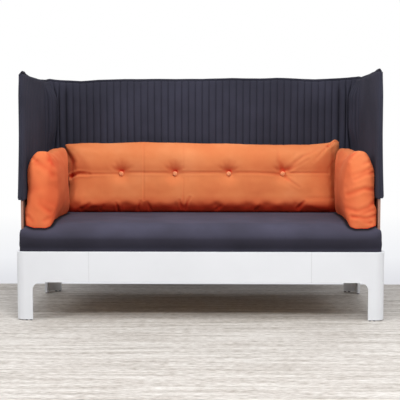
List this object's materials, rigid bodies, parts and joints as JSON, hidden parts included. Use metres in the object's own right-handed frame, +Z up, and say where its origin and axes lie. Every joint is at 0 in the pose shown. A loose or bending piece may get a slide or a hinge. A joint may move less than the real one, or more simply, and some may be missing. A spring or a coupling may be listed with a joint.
{
  "type": "banquette",
  "caption": "High-backed upholstered banquette with wings: bent plywood base with legs, quilted cover over a plywood shell, seat pad and loose cushions.",
  "frame": {"origin": "on the floor, at the middle of the footprint", "axes": "+X to the sitter's left as seen from in front (the viewer's right), -Y to the front, +Z up"},
  "size_m": [1.6006, 0.7655, 1.0864],
  "materials": {
    "white_lacquer": "satin white lacquer on bent plywood",
    "shell_ply": "dark stained plywood",
    "frame_wood": "bare softwood and birch plywood",
    "quilt_fabric": "quilted dark grey wool",
    "seat_fabric": "dark grey wool",
    "cushion_fabric": "orange woven cover",
    "twine": "waxed linen twine",
    "screw_steel": "zinc plated",
    "glide_plastic": "black"
  },
  "bodies": {
    "base": {"beam_cleats": "frame_wood", "centre_beam": "frame_wood", "front_ledger": "frame_wood", "front_left_corner_block": "frame_wood", "front_left_splice": "frame_wood", "front_rail": "white_lacquer", "front_right_corner_block": "frame_wood", "front_right_splice": "frame_wood", "ledger_screws": "screw_steel", "left_end_frame": "white_lacquer", "left_ledger": "frame_wood", "left_packing": "frame_wood", "leg_glides": "glide_plastic", "rear_ledger": "frame_wood", "rear_left_corner_block": "frame_wood", "rear_left_splice": "frame_wood", "rear_rail": "white_lacquer", "rear_right_corner_block": "frame_wood", "rear_right_splice": "frame_wood", "right_end_frame": "white_lacquer", "right_ledger": "frame_wood", "right_packing": "frame_wood", "shell": "shell_ply", "slat_01": "frame_wood", "slat_02": "frame_wood", "slat_03": "frame_wood", "slat_04": "frame_wood", "slat_05": "frame_wood", "slat_06": "frame_wood", "slat_07": "frame_wood", "slat_08": "frame_wood", "slat_09": "frame_wood", "slat_10": "frame_wood", "slat_11": "frame_wood", "slat_12": "frame_wood", "slat_13": "frame_wood", "splice_screws": "screw_steel"},
    "cover": {"cover_edge_tape": "quilt_fabric", "cover_inner_layer": "quilt_fabric", "cover_outer_layer": "quilt_fabric", "cover_seam_lip": "quilt_fabric"},
    "seat": {"seat_pad": "seat_fabric"},
    "back_cushion": {"back_cushion": "cushion_fabric", "front_buttons": "cushion_fabric", "rear_buttons": "cushion_fabric", "tufting_twines": "twine"},
    "left_cushion": {"left_side_cushion": "cushion_fabric"},
    "right_cushion": {"right_side_cushion": "cushion_fabric"}
  },
  "joints": [
    {"name": "cover_lift", "type": "slide", "parent": "base", "child": "cover", "axis": [0, 0, 1], "range_m": [0, 0.6]},
    {"name": "seat_lift", "type": "slide", "parent": "base", "child": "seat", "axis": [0, 0, 1], "range_m": [0, 0.85]},
    {"name": "back_cushion_lift", "type": "slide", "parent": "seat", "child": "back_cushion", "axis": [0, 0, 1], "range_m": [0, 0.72]},
    {"name": "left_cushion_lift", "type": "slide", "parent": "seat", "child": "left_cushion", "axis": [0, 0, 1], "range_m": [0, 0.72]},
    {"name": "right_cushion_lift", "type": "slide", "parent": "seat", "child": "right_cushion", "axis": [0, 0, 1], "range_m": [0, 0.72]}
  ]
}
